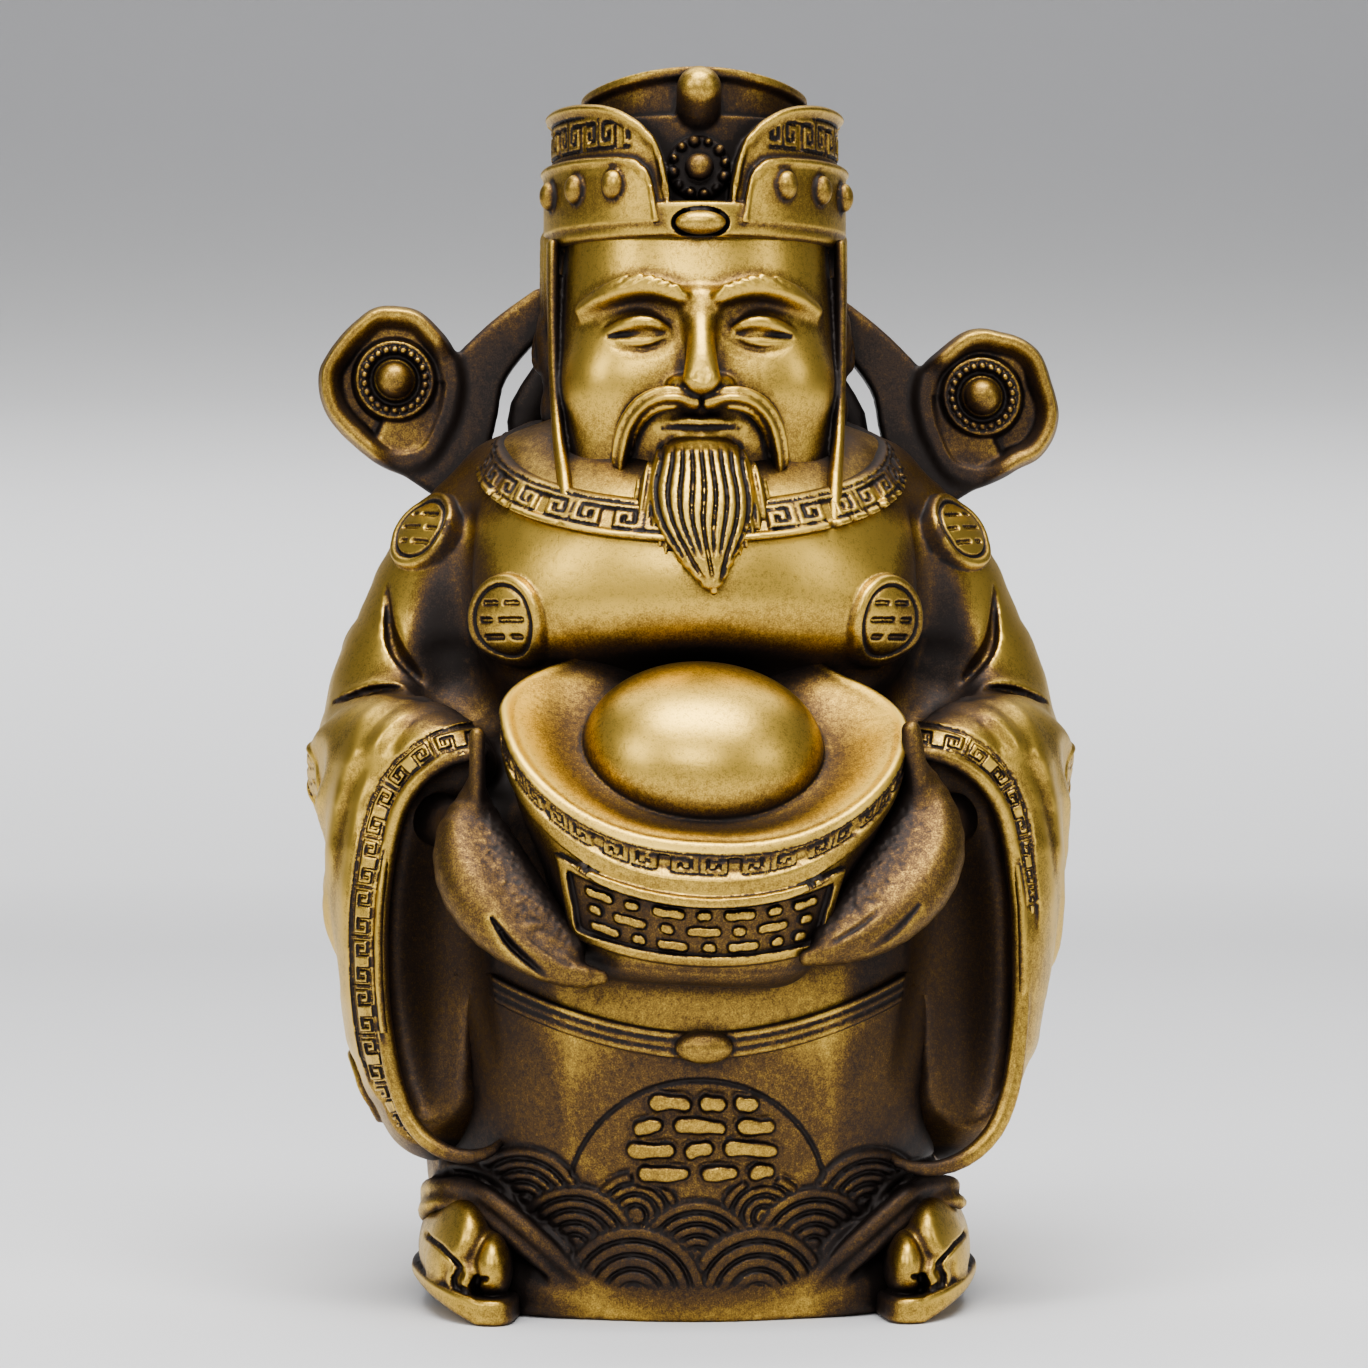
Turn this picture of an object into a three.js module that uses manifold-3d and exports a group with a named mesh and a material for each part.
// Caishen figure: a small cast metal ornament of a bearded official in a round robe and winged cap,
// holding a boat-shaped ingot. The casting is one solid. Millimetres, +Z up, the figure faces -Y.
import * as THREE from "three";
import { mergeVertices } from "three/addons/utils/BufferGeometryUtils.js";
import Module from "manifold-3d";

const wasm = await Module();
wasm.setup();

/* ------------------------------------------------------------------ driving sizes */
const Y_SHIFT = 5.88; // brings the middle of the figure's depth onto the origin
// Robe: height, half width, depth to the front, depth to the back
const ROBE = [
  [0, 29.2, 32.2, 26.5],
  [4, 30.2, 32.8, 28.0],
  [9, 31.4, 33.6, 29.4],
  [14, 32.6, 34.8, 30.2],
  [24, 34.0, 37.2, 31.5],
  [34, 34.0, 38.6, 32.5],
  [44, 34.6, 38.4, 33.0],
  [56, 35.6, 35.0, 33.0],
  [66, 36.0, 28.0, 33.0],
  [73, 35.6, 21.8, 32.4],
  [77.5, 35.0, 23.0, 31.6],
  [80.5, 34.6, 27.2, 31.0],
  [84, 34.0, 29.4, 30.2],
  [89, 32.8, 29.8, 28.6],
  [94, 30.8, 28.6, 26.5],
  [100, 28.2, 24.0, 23.5],
  [104, 25.8, 19.6, 20.8],
  [106.5, 23.8, 16.2, 18.4],
  [109, 19.0, 12.5, 15.5],
  [112, 10.0, 7.0, 9.0],
];
const ROBE_SQUARE = 2.15; // superellipse power of the robe's cross-section
const BACK_FOLDS = { count: 7, depth: 0.7 };
// Head: height, half width, depth to the front, depth to the back
const HEAD = [
  [94.4, 3.0, 3.0, 4.0],
  [96.5, 9.4, 10.6, 9.4],
  [99.8, 14.0, 14.6, 12.8],
  [104, 17.0, 17.2, 15.2],
  [110, 18.2, 18.2, 16.8],
  [117, 18.1, 18.1, 17.4],
  [124, 17.4, 17.4, 17.2],
  [131, 17.0, 17.0, 17.0],
  [134, 12.0, 12.0, 12.0],
];
const HEAD_X = 0.5; // the head stands a little to one side
const HEAD_Y = -4.6;
const BAND = { y: -2.5, rx: 18.7, ry: 19.0, z0: 130.3, z1: 135.2 }; // brow band of the cap
const TIER1 = { rx: 19.5, ry: 19.8, z1: 141.3 }; // studded tier
const TIER2 = { rx: 18.9, ry: 19.0, z1: 148.2 }; // fretted tier
const CROWN = { y: -1, rx: 13.5, ry: 13.2, arch: 0.0105 };
const KNOB = { r: 2.9, from: [0, -11, 144.8], to: [0, -17.6, 149.0] };
const BUTTON = { r: 3.6, y: -15.6, z: 139.4 };
const WING = { x: 37.5, z: 113.65, y0: 3.0, y1: 8.4, drop: 0.0253 };
// Outline of each wing's lobe round its boss: [degrees from straight out, radius], the -X wing first
const LOBES = [
  [[-180, 8.6], [-160, 8.8], [-135, 9.6], [-110, 11.6], [-91, 11.6], [-78, 10.9], [-56, 9.9], [-29, 9.9], [-3, 9.85]].concat(
    [[17, 9.4], [34, 8.95], [58, 9.1], [76, 9.75], [92, 9.6], [116, 9.3], [140, 8.7], [160, 8.6]],
  ),
  [[-180, 8.6], [-160, 8.8], [-135, 9.6], [-110, 11.6], [-91, 11.5], [-78, 10.9], [-56, 10.4], [-36, 10.7], [-10, 10.3]].concat(
    [[15, 9.4], [39, 9.7], [55, 9.4], [74, 8.8], [88, 8.9], [109, 8.6], [132, 8.1], [155, 8.5]],
  ),
];
const INGOT = { y: -32, z0: 40.6, roll: 0.0506, pivot: [-0.4, 52], front: 2.5, back: 1.7, turn: 24.4 };
const INGOT_HALF = [
  [36, 8.5],
  [39, 10.6],
  [41.8, 13.0],
  [46.4, 16.0],
  [53.9, 18.6],
  [58.7, 20.9],
  [63.4, 22.6],
  [68, 23.8],
  [71.6, 24.4],
  [76, 24.7],
  [84, 24.8],
]; // half length of the hull by height
const INGOT_DEEP = [
  [36, 7.6],
  [39, 9.0],
  [41.5, 10.6],
  [43.5, 11.8],
  [46, 12.7],
  [50, 13.4],
  [56.7, 13.9],
  [66, 14.0],
  [84, 14.0],
]; // half depth of the hull by height
const DOME = { y: -31.8, z: 68.2, rx: 14.4, ry: 12.2, rz: 9.0, lean: 40 };
const BELT = { front: 33.5, back: 40.5, half: 1.7, proud: 1.0 };
const COLLAR = { side: 106, dip: 13, rise: 0.8, wide: 6.1, proud: 1.1 };
const ROUNDEL = { proud: 0.9, sides: 10 };

/* ------------------------------------------------------------------ helpers */
const TAU = Math.PI * 2;
const V = (x, y, z) => new THREE.Vector3(x, y, z);
const power = (c, e) => Math.sign(c) * Math.pow(Math.abs(c), e);

// Smooth value of column k of a station table; the first column rises.
function at(table, z, k) {
  const n = table.length;
  if (z <= table[0][0]) return table[0][k];
  if (z >= table[n - 1][0]) return table[n - 1][k];
  let i = 0;
  while (table[i + 1][0] < z) i++;
  const slope = (j) => {
    const a = Math.max(j - 1, 0),
      b = Math.min(j + 1, n - 1);
    return (table[b][k] - table[a][k]) / (table[b][0] - table[a][0]);
  };
  const h = table[i + 1][0] - table[i][0],
    t = (z - table[i][0]) / h;
  const t2 = t * t,
    t3 = t2 * t;
  return (
    (2 * t3 - 3 * t2 + 1) * table[i][k] +
    (t3 - 2 * t2 + t) * h * slope(i) +
    (-2 * t3 + 3 * t2) * table[i + 1][k] +
    (t3 - t2) * h * slope(i + 1)
  );
}

// Moves every vertex of a geometry through fn(vector), which changes it in place.
function warp(geometry, fn) {
  const p = geometry.getAttribute("position"),
    v = new THREE.Vector3();
  for (let i = 0; i < p.count; i++) {
    v.fromBufferAttribute(p, i);
    fn(v);
    p.setXYZ(i, v.x, v.y, v.z);
  }
  return geometry;
}

// A closed three.js geometry as a solid, with its faces turned out.
function solid(geometry) {
  const g = geometry.clone();
  for (const name of ["normal", "uv"]) if (g.getAttribute(name)) g.deleteAttribute(name);
  const m = mergeVertices(g, 1e-4),
    index = m.index.array,
    keep = [];
  for (let i = 0; i < index.length; i += 3) {
    const [a, b, c] = [index[i], index[i + 1], index[i + 2]];
    if (a !== b && b !== c && c !== a) keep.push(a, b, c);
  }
  const build = (tri) =>
    new wasm.Manifold(
      new wasm.Mesh({
        numProp: 3,
        vertProperties: new Float32Array(m.attributes.position.array),
        triVerts: new Uint32Array(tri),
      }),
    );
  const made = build(keep);
  if (made.volume() > 0) return made;
  for (let i = 0; i < keep.length; i += 3) [keep[i + 1], keep[i + 2]] = [keep[i + 2], keep[i + 1]];
  return build(keep);
}

// A solid back as a three.js geometry.
function geometryOf(made) {
  const mesh = made.getMesh(),
    position = new Float32Array(mesh.numVert * 3);
  for (let i = 0; i < mesh.numVert; i++)
    position.set(mesh.vertProperties.subarray(i * mesh.numProp, i * mesh.numProp + 3), i * 3);
  const g = new THREE.BufferGeometry();
  g.setAttribute("position", new THREE.BufferAttribute(position, 3));
  g.setIndex(new THREE.BufferAttribute(new Uint32Array(mesh.triVerts), 1));
  g.computeVertexNormals();
  return g;
}

const mirrored = (geometry) => geometry.clone().scale(-1, 1, 1);

// A limb: an elliptical section swept along stations [x, y, z, half side, half depth] with closed, rounded ends.
function limb(stations, radial, rings, blunt = 2.4, side = V(1, 0, 0)) {
  const curve = new THREE.CatmullRomCurve3(stations.map((s) => V(s[0], s[1], s[2])), false, "centripetal");
  const sizes = stations.map((s, i) => [i / (stations.length - 1), s[3], s[4]]);
  return warp(new THREE.SphereGeometry(1, radial, rings), (v) => {
    const s = Math.acos(Math.max(-1, Math.min(1, v.y))) / Math.PI;
    const full = Math.pow(Math.max(0, 1 - Math.pow(Math.abs(2 * s - 1), blunt)), 1 / blunt);
    const turn = Math.atan2(v.z, v.x);
    const c = curve.getPoint(s),
      t = curve.getTangent(s);
    const a = side.clone().addScaledVector(t, -side.dot(t)).normalize(),
      b = t.clone().cross(a);
    v.copy(c)
      .addScaledVector(a, Math.cos(turn) * at(sizes, s, 1) * full)
      .addScaledVector(b, Math.sin(turn) * at(sizes, s, 2) * full);
  });
}

const ball = (x, y, z, rx, ry, rz, w = 20, h = 12) =>
  new THREE.SphereGeometry(1, w, h).rotateX(Math.PI / 2).scale(rx, ry, rz).translate(x, y, z);

// A short disc whose flat face looks along the direction (nx, ny, nz).
function disc(x, y, z, nx, ny, nz, r, thick, sides = 14) {
  const g = new THREE.CylinderGeometry(r * 0.94, r, thick, sides);
  g.applyQuaternion(new THREE.Quaternion().setFromUnitVectors(V(0, 1, 0), V(nx, ny, nz).normalize()));
  return g.translate(x, y, z);
}

// An upright elliptical cylinder.
const drum = (y, rx, ry, z0, z1, sides = 40, top = 1) =>
  new THREE.CylinderGeometry(top, 1, z1 - z0, sides)
    .rotateX(Math.PI / 2)
    .scale(rx, ry, 1)
    .translate(0, y, (z0 + z1) / 2);

// A front-view outline of points [x, z], smoothed, as a slab from y0 to y1.
function slab(points, y0, y1, steps, bevel = 0) {
  const spline = new THREE.CatmullRomCurve3(points.map(([x, z]) => V(x, z, 0)), true, "centripetal");
  const shape = new THREE.Shape(spline.getPoints(steps).slice(0, -1).map((p) => new THREE.Vector2(p.x, p.y)));
  return new THREE.ExtrudeGeometry(shape, {
    depth: y1 - y0 - 2 * bevel,
    bevelEnabled: bevel > 0,
    bevelThickness: bevel,
    bevelSize: bevel,
    bevelOffset: -bevel,
    bevelSegments: 1,
    curveSegments: 1,
  })
    .rotateX(Math.PI / 2)
    .translate(0, y1 - bevel, 0);
}

/* ------------------------------------------------------------------ robe */
// Point on the robe's surface at a turn (0 = +X, -90 degrees = front) and height.
function robePoint(turn, z, out = 0) {
  const a = at(ROBE, z, 1),
    b = Math.sin(turn) < 0 ? at(ROBE, z, 2) : at(ROBE, z, 3);
  const back = Math.max(0, Math.sin(turn)),
    low = Math.max(0, 1 - z / 85);
  const fold = BACK_FOLDS.depth * back * low * Math.cos(BACK_FOLDS.count * 2 * turn);
  const x = (a + out + fold) * power(Math.cos(turn), 2 / ROBE_SQUARE),
    y = (b + out + fold) * power(Math.sin(turn), 2 / ROBE_SQUARE);
  return V(x, y, z);
}
// Rows of the robe from hem to neck: [height at a turn, how proud]. The belt and the collar are raised rows.
const frontness = (turn) => Math.max(0, -Math.sin(turn));
const across = (turn) => Math.abs(power(Math.cos(turn), 2 / ROBE_SQUARE)) * 34;
const beltZ = (turn) => {
  const share = Math.min(1, Math.max(0, 0.5 - (33 * Math.sin(turn)) / 12)),
    front = BELT.front + 3 * Math.pow(Math.min(across(turn) / 16.6, 1.5), 1.8);
  return BELT.back + (front - BELT.back) * share;
};
// The collar's outer edge, and a place that lies the length t up the cloth from it
const collarZ = (turn, t) => {
  const f = frontness(turn),
    b = Math.max(0, Math.sin(turn));
  return COLLAR.side - COLLAR.dip * Math.pow(f, 0.9) + COLLAR.rise * b + t / (1.75 - 0.55 * f - 0.2 * b);
};
const level = (z) => () => z;
const ROWS = [
  ...[0, 6, 16, 25].map((z) => [level(z), 0]),
  [(t) => beltZ(t) - BELT.half - 0.2, 0],
  [(t) => beltZ(t) - BELT.half, BELT.proud],
  [(t) => beltZ(t) + BELT.half, BELT.proud],
  [(t) => beltZ(t) + BELT.half + 0.2, 0],
  ...[49, 60, 72, 78, 81, 85, 90].map((z) => [level(z), 0]),
  [(t) => collarZ(t, -0.3), 0],
  [(t) => collarZ(t, 0), COLLAR.proud],
  [(t) => collarZ(t, COLLAR.wide), COLLAR.proud],
  [(t) => collarZ(t, COLLAR.wide + 0.3), 0],
  [level(111), 0],
];
const robe = warp(
  new THREE.LatheGeometry(
    [new THREE.Vector2(0, -1), ...ROWS.map((_, i) => new THREE.Vector2(1, i)), new THREE.Vector2(0, ROWS.length)],
    30,
  ),
  (v) => {
    const i = Math.round(v.y),
      turn = Math.atan2(v.z, v.x);
    if (i < 0 || i >= ROWS.length) v.set(0, 0, i < 0 ? 0 : 111);
    else v.copy(robePoint(turn, ROWS[i][0](turn), ROWS[i][1]));
  },
);

// Upper arm from the shoulder to the elbow, then the forearm in to the wrist
const upperArm = limb(
  [
    [23.5, 1.5, 100, 8.0, 9],
    [28.8, 2, 90.5, 9.8, 11.5],
    [32.4, 2.2, 80, 11.2, 13.2],
    [35.6, 2, 67, 14.1, 14.2],
    [36.0, 1, 53, 11.0, 14],
  ],
  10,
  7,
);
const foreArm = limb(
  [
    [39.5, 2, 67, 8.8, 8.8],
    [37.6, -8, 67.2, 9.2, 9.2],
    [34.2, -17.0, 67.2, 7.8, 8.4],
    [30.2, -23.5, 67.0, 5.4, 6.0],
    [26.4, -28.6, 66.2, 3.2, 3.6],
  ],
  8,
  6,
  2.6,
  V(0, 0, 1),
);
// Hanging sleeve: a flat bag with its mouth to the front
const sleeve = limb(
  [
    [36.2, -6, 73, 9.4, 14],
    [35.9, -7, 60, 12.7, 19.6],
    [35.1, -7, 45, 10.8, 21.3],
    [33.9, -7.5, 31, 9.8, 20.9],
    [31.4, -8.5, 15.6, 7.4, 17],
  ],
  14,
  9,
  3.0,
);
const mouth = limb(
  [
    [27.8, -33, 68.0, 3.4, 5],
    [31.4, -31.5, 61, 7.0, 10.5],
    [31.4, -31.5, 49, 7.6, 11.0],
    [30.8, -31.5, 36, 7.6, 10.5],
    [29.4, -32.5, 20.0, 5.8, 8],
  ],
  12,
  8,
  2.8,
);

/* ------------------------------------------------------------------ hands and ingot */
const hand = (side, fingers, heel, thumb) =>
  [
    [fingers, 6, 7, 2.6],
    [heel, 5, 4, 2.4],
    [thumb, 5, 4, 2.8],
  ].map(([rows, radial, rings, blunt]) =>
    limb(
      rows.map(([x, ...rest]) => [side * x, ...rest]),
      radial,
      rings,
      blunt,
    ),
  );
const hands = [
  ...hand(
    -1,
    [
      [26.8, -30.6, 63.6, 1.9, 2.6],
      [28.5, -33.0, 58.0, 2.9, 3.9],
      [26.9, -37.0, 51.2, 3.6, 4.1],
      [21.2, -40.8, 45.0, 2.7, 3.0],
      [11.4, -42.3, 41.8, 1.1, 1.4],
    ],
    [
      [25.8, -29.6, 60.4, 2.6, 3.0],
      [22.4, -35.2, 52.6, 3.9, 3.3],
      [14.8, -39.4, 44.6, 2.3, 2.6],
    ],
    [
      [27.6, -32.2, 57.0, 1.9, 2.6],
      [26.5, -33.6, 63.0, 1.4, 1.8],
      [26.4, -33.6, 70.8, 1.2, 1.3],
    ],
  ),
  ...hand(
    1,
    [
      [26.0, -30.6, 65.4, 2.2, 2.8],
      [28.1, -32.8, 59.0, 3.4, 4.0],
      [26.0, -37.0, 52.2, 3.9, 4.1],
      [19.6, -40.8, 46.8, 2.8, 3.0],
      [11.6, -42.4, 44.0, 1.2, 1.4],
    ],
    [
      [25.0, -29.6, 61.4, 2.6, 3.0],
      [21.2, -35.6, 53.2, 3.9, 3.3],
      [13.8, -39.8, 46.0, 2.3, 2.6],
    ],
    [
      [26.8, -31.0, 59.6, 2.3, 2.7],
      [25.7, -33.6, 65.4, 1.8, 2.0],
      [25.0, -34.0, 71.4, 1.5, 1.5],
    ],
  ),
];

// Ingot: hull, rim and hollow top in one lathe profile, [share of the hull's size, share of the wall height, drop below the rim]
const INGOT_PROFILE = [
  [0, 0, 0],
  [0.88, 0, 0],
  [1, 0.05, 0],
  [1, 0.4, 0],
  [1.0, 1, 0],
  [0.94, 1, 0.2],
  [0.76, 1, 1.8],
  [0.6, 1, 2.7],
  [0, 1, 2.7],
];
const tilted = (geometry) =>
  warp(geometry, (v) => {
    const c = Math.cos(INGOT.roll),
      s = Math.sin(INGOT.roll),
      [px, pz] = INGOT.pivot;
    v.set(px + c * v.x + s * (v.z - pz), v.y, pz - s * v.x + c * (v.z - pz));
  });
const bell = (x, w) => (Math.abs(x) < w ? 0.5 + 0.5 * Math.cos((Math.PI * x) / w) : 0);
// Height of the sloping rim over a point, y from the ingot's middle
function rimHeight(x, y) {
  const e = Math.min(1.1, Math.abs(x) / INGOT.turn),
    back = Math.min(1, Math.max(0, y / 13));
  return 71.3 + 0.84 * y - 0.0155 * y * y + 0.3 * e ** 3 + back * (1.1 * bell(Math.abs(x) - 12.6, 5) - 2.6 * bell(x, 10.5));
}
const ingotOut = (turn, z, share) => {
  const n = Math.sin(turn) < 0 ? INGOT.front : INGOT.back;
  return [share * at(INGOT_HALF, z, 1) * power(Math.cos(turn), 2 / n), share * at(INGOT_DEEP, z, 1) * power(Math.sin(turn), 2 / n)];
};
const ingot = tilted(
  warp(
    new THREE.LatheGeometry(
      INGOT_PROFILE.map(([r], i) => new THREE.Vector2(r, i)),
      26,
    ),
    (v) => {
      const [share, wall, drop] = INGOT_PROFILE[Math.round(v.y)],
        turn = Math.atan2(v.z, v.x);
      let z = 72;
      for (let k = 0; k < 4; k++) z = rimHeight(...ingotOut(turn, z, 1));
      if (wall < 1) z = INGOT.z0 + wall * (z - INGOT.z0);
      const [x, y] = ingotOut(turn, z, share);
      v.set(x, INGOT.y + y, wall < 1 ? z : rimHeight(x, y) - drop);
    },
  ),
);
const dome = tilted(
  new THREE.SphereGeometry(1, 16, 8)
    .rotateX(Math.PI / 2)
    .scale(DOME.rx, DOME.ry, DOME.rz)
    .rotateX((DOME.lean * Math.PI) / 180)
    .translate(0, DOME.y, DOME.z),
);
const tablet = tilted(
  warp(new THREE.BoxGeometry(2, 2, 2, 6, 1, 1), (v) => {
    const up = v.z * 4.3,
      x = v.x * (15.9 + 0.264 * up),
      z = 47.25 + 0.0125 * x * x + up,
      wall = at(INGOT_DEEP, z, 1) * Math.pow(1 - Math.pow(Math.abs(x) / at(INGOT_HALF, z, 1), INGOT.front), 1 / INGOT.front);
    v.set(x, INGOT.y - wall + (v.y > 0 ? 1.5 : -1.6), z);
  }),
);

/* ------------------------------------------------------------------ head */
const HEAD_ROWS = 7,
  [headLow, headHigh] = [HEAD[0][0], HEAD[HEAD.length - 1][0]];
const skull = warp(
  new THREE.LatheGeometry(
    [
      new THREE.Vector2(0, -1),
      ...Array.from({ length: HEAD_ROWS + 1 }, (_, i) => new THREE.Vector2(1, i)),
      new THREE.Vector2(0, HEAD_ROWS + 1),
    ],
    20,
  ),
  (v) => {
    const share = Math.min(1, Math.max(0, Math.round(v.y) / HEAD_ROWS)),
      z = headLow + (headHigh - headLow) * share * (0.6 + 0.4 * share);
    const inside = Math.hypot(v.x, v.z) < 0.5,
      turn = Math.atan2(v.z, v.x);
    const deep = Math.sin(turn) < 0 ? at(HEAD, z, 2) : at(HEAD, z, 3);
    if (inside) v.set(0, HEAD_Y, z);
    else v.set(at(HEAD, z, 1) * Math.cos(turn), HEAD_Y + deep * Math.sin(turn), z);
  },
);
const nose = limb(
  [
    [0, -21.4, 122, 1.3, 1.2],
    [0, -23.2, 118.4, 1.7, 1.7],
    [0, -24.4, 115.2, 2.6, 2.0],
    [0, -23.2, 112.8, 2.2, 1.2],
  ],
  8,
  6,
);
const neck = drum(-2, 15.5, 14, 94, 108, 12);
const beard = limb(
  [
    [0, -18.5, 107, 4.6, 3],
    [0, -23.4, 103.5, 6.2, 3.2],
    [0, -27.0, 98, 5.6, 3.0],
    [0, -29.0, 92, 3.8, 2.4],
    [0, -30.0, 86.2, 0.9, 1.2],
  ],
  10,
  8,
  2.6,
);
const moustache = limb(
  [
    [0.8, -23.4, 110.6, 1.0, 1.2],
    [4.6, -23.2, 110.4, 1.2, 1.5],
    [8.0, -21.6, 107.6, 1.1, 1.4],
    [9.2, -20.4, 103.4, 0.7, 1.2],
    [9.4, -19.8, 100.4, 0.4, 0.8],
  ],
  5,
  6,
  2.2,
  V(0, 0, 1),
);
const earLobe = ball(18.2, -1.5, 116.5, 2.0, 3.4, 7.2, 6, 5);
const sideRibbon = limb(
  [
    [18.2, -9.5, 130, 0.9, 1.8],
    [17.4, -12.0, 118, 0.9, 1.8],
    [16.6, -14.6, 106, 1.1, 1.9],
    [16.4, -17.6, 97.2, 0.7, 1.1],
  ],
  5,
  5,
);

/* ------------------------------------------------------------------ cap */
const band = drum(BAND.y, BAND.rx, BAND.ry, BAND.z0, BAND.z1, 24);
// The two tiers stand open at the front, between scrolled edges.
const gap1 = [
  [6.4, 134.6],
  [7.4, 137.4],
  [9.4, 139.8],
  [12.5, 141.2],
  [13.0, 146],
  [-13.0, 146],
  [-12.5, 141.2],
  [-9.4, 139.8],
  [-7.4, 137.4],
  [-6.4, 134.6],
];
const gap2 = [
  [2.9, 135.4],
  [4.2, 139.6],
  [6.2, 143.2],
  [9.0, 146],
  [13.0, 147.8],
  [14.0, 153],
  [-14.0, 153],
  [-13.0, 147.8],
  [-9.0, 146],
  [-6.2, 143.2],
  [-4.2, 139.6],
  [-2.9, 135.4],
];
const lower = solid(drum(BAND.y, TIER1.rx, TIER1.ry, BAND.z1 - 1, TIER1.z1, 24))
  .subtract(solid(slab(gap1, -40, -1, 16)))
  .subtract(solid(drum(BAND.y, TIER1.rx - 1.6, TIER1.ry - 1.6, TIER1.z1 - 1.5, TIER1.z1 + 2, 20)));
const upper = solid(drum(BAND.y, TIER2.rx, TIER2.ry, BAND.z1 - 1, TIER2.z1, 24))
  .subtract(solid(slab(gap2, -40, -1, 17)))
  .subtract(solid(drum(BAND.y, TIER2.rx - 1.7, TIER2.ry - 1.7, TIER2.z1 - 4, TIER2.z1 + 2, 20)));
const crownProfile = [
  [0, 132],
  [0.97, 132],
  [0.98, 145],
  [1.0, 149.5],
  [1.06, 151.2],
  [1.06, 151.9],
  [1.02, 152.1],
  [0, 151.4],
].map(([r, z]) => new THREE.Vector2(r, z));
// The crown's top is arched from side to side.
const crown = warp(new THREE.LatheGeometry(crownProfile, 20), (v) => {
  const r = Math.hypot(v.x, v.z),
    turn = Math.atan2(v.z, v.x),
    x = r * CROWN.rx * Math.cos(turn);
  v.set(x, CROWN.y + r * CROWN.ry * Math.sin(turn), v.y + (v.y > 148 ? 0.1 - CROWN.arch * x * x : 0));
});
const knob = limb(
  [
    [...KNOB.from, KNOB.r, KNOB.r],
    [0, -14.2, 146.9, KNOB.r, KNOB.r],
    [...KNOB.to, KNOB.r, KNOB.r],
  ],
  8,
  6,
  2.6,
);
const rosette = disc(0, BUTTON.y, BUTTON.z, 0, -1, 0.1, BUTTON.r, 3, 10);
const gem = ball(0, BAND.y - BAND.ry, 132.8, 3.1, 1.4, 1.8, 8, 5);
const studs = [];
for (const turn of [-62, -40, -14]) {
  const a = (turn * Math.PI) / 180;
  studs.push(ball(TIER1.rx * Math.cos(a), BAND.y + TIER1.ry * Math.sin(a), 138.2, 1.35, 1.35, 1.9, 6, 3));
}

/* ------------------------------------------------------------------ wings of the cap */
const lobe = (k) =>
  slab(
    LOBES[k].map(([deg, r]) => {
      const a = (deg * Math.PI) / 180;
      return [WING.x + r * Math.cos(a), WING.z + r * Math.sin(a)];
    }),
    WING.y0 - 1.3,
    WING.y1,
    17,
    1.0,
  );
const wingStem = slab(
  [
    [14.0, 127.0],
    [20.3, 126.0],
    [25.0, 122.6],
    [29.5, 118.4],
    [34.0, 114.0],
    [41.0, 109.0],
    [40.6, 104.6],
    [36.0, 101.4],
    [30.0, 97.6],
    [24.6, 95.4],
    [24.4, 104.0],
    [24.2, 110.4],
    [22.6, 115.2],
    [19.4, 119.0],
    [15.0, 121.2],
  ],
  4.2,
  7.9,
  14,
);
const wingBoss = disc(WING.x, WING.y0 - 0.4, WING.z, 0, -1, 0, 4.7, 2.4, 10);
const wingBead = ball(WING.x, WING.y0 - 1.6, WING.z, 2.3, 1.6, 2.3, 6, 4);
const capTail = limb(
  [
    [15.5, 4, 120, 2, 2],
    [18.5, 5, 114, 2.6, 2],
    [20.5, 6, 108, 3.0, 2],
    [21.0, 6, 103.5, 1.6, 1.6],
  ],
  5,
  4,
);

/* ------------------------------------------------------------------ feet, collar, belt, roundels */
const foot = limb(
  [
    [27.0, -4, 7.2, 6.6, 6.6],
    [28.4, -15, 7.8, 6.0, 6.8],
    [29.0, -24.0, 9.0, 4.9, 6.0],
    [29.6, -32.4, 9.6, 3.2, 4.0],
  ],
  8,
  6,
  2.6,
);
const toes = [ball(24.5, -28.8, 6.9, 2.2, 5.3, 4.1, 6, 4), ball(31.0, -26.0, 6.2, 3.1, 5.2, 3.5, 6, 4)];
// The sole: a flat outline [x, y] with its outer side curled up a little
const SOLE = [[20.5, -14], [21.5, -31], [22.4, -34.2], [24.6, -35.2], [28, -33.6], [31.5, -29.4], [34.3, -21.5], [35.2, -12], [34, -2], [28, 2]];
const sole = warp(
  new THREE.ExtrudeGeometry(new THREE.Shape(SOLE.map(([x, y]) => new THREE.Vector2(x, y))), { depth: 3.1, bevelEnabled: false }),
  (v) => {
    const out = Math.max(v.x - 26.5, 0);
    v.z = v.z > 1 ? v.z - 0.22 * out + 0.46 * out : 0.46 * out - (v.x < 26.5 ? 0.2 : 0);
  },
);
const hemFlap = limb(
  [
    [12.6, -29.2, 3.6, 0.8, 1.0],
    [17.4, -29.4, 7.8, 1.7, 1.9],
    [23.6, -28.0, 12.9, 2.5, 2.4],
    [29.2, -21.6, 14.1, 2.6, 2.5],
    [31.0, -10.0, 11.4, 2.0, 2.6],
  ],
  6,
  7,
);
const beltKnot = ball(0.2, -39.8, 33.4, 3.4, 1.8, 2.0, 8, 5);

/* ------------------------------------------------------------------ one casting */
const join = (list) => wasm.Manifold.union(list);
const both = (g) => [solid(g), solid(mirrored(g))];

let casting = join([solid(robe), ...both(upperArm), ...both(foreArm), ...both(sleeve)]);
casting = casting.subtract(join(both(mouth)));
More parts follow.
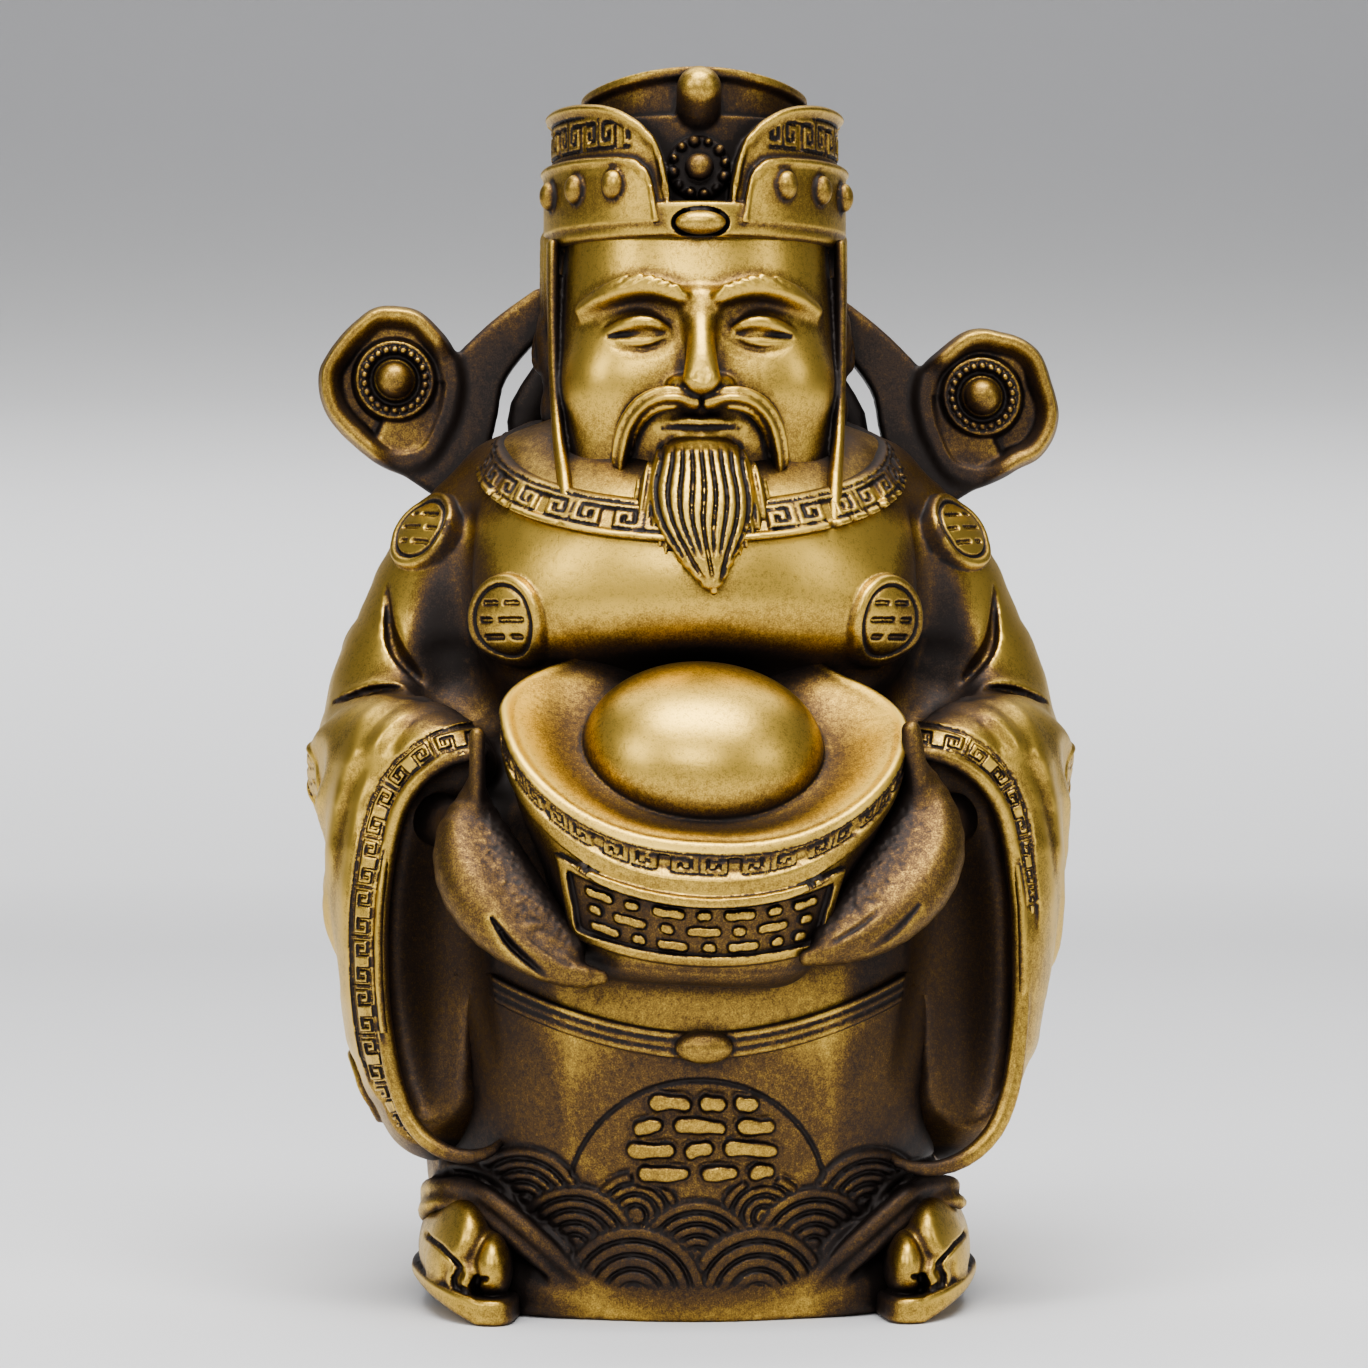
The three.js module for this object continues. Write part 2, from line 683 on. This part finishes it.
// Roundels lie on the cloth: each is seated where a ray along its own direction meets the robe.
const cloth = new THREE.Mesh(geometryOf(casting), new THREE.MeshBasicMaterial({ side: THREE.DoubleSide }));
function roundel(x, y, z, nx, ny, nz, r) {
  const n = V(nx, ny, nz).normalize();
  const ray = new THREE.Raycaster(V(x, y, z).addScaledVector(n, 40), n.clone().negate());
  const p = ray.intersectObject(cloth)[0].point.addScaledVector(n, ROUNDEL.proud - 1.4);
  return disc(p.x, p.y, p.z, n.x, n.y, n.z, r, 2.8, ROUNDEL.sides);
}
const roundels = [
  roundel(24.4, -24.0, 83.7, 0.62, -0.78, 0.04, 5.65),
  roundel(37.2, -9.0, 97.4, 0.72, -0.53, 0.45, 5.4),
  roundel(46, -5.0, 63.6, 0.97, -0.24, 0.03, 5.5),
  roundel(40, -6.0, 26.0, 0.9, -0.22, -0.38, 5.0),
  roundel(19.0, 26, 80.0, 0.5, 0.86, 0.08, 5.6),
  roundel(44.0, 12, 82.0, 0.8, 0.58, 0.22, 5.2),
];
const head = join([
  ...[moustache, earLobe, sideRibbon, ...studs].flatMap(both),
  ...[skull, nose, neck, beard, band, crown, knob, rosette, gem].map(solid),
  lower,
  upper,
]).translate([HEAD_X, 0, 0]);
// The wings hang a little lower on the +X side.
const wings = [0, 1].map((k) => {
  const made = join([lobe(k), wingStem, wingBoss, wingBead].map(solid));
  return (k ? made : made.mirror([1, 0, 0])).warp((v) => {
    v[2] -= WING.drop * v[0];
  });
});
casting = join([
  casting,
  head,
  ...[foot, ...toes, sole, hemFlap, capTail, ...roundels].flatMap(both),
  ...[ingot, dome, tablet, beltKnot, ...hands].map(solid),
  solid(roundel(0, 33, 60, 0, 1, 0, 6.2)),
]);
for (const wing of wings) casting = casting.add(wing);
// The underside is ground flat.
casting = casting.subtract(solid(new THREE.BoxGeometry(200, 200, 40).translate(0, 0, -20)));
const [body] = casting.decompose().sort((a, b) => b.volume() - a.volume());

const figure = new THREE.Mesh(
  geometryOf(body),
  new THREE.MeshStandardMaterial({ color: 0x8a6a2a, roughness: 0.42, metalness: 0.9, flatShading: true }),
);
figure.name = "caishen_figure";
figure.position.y = Y_SHIFT;

const group = new THREE.Group();
group.add(figure);
export default group;
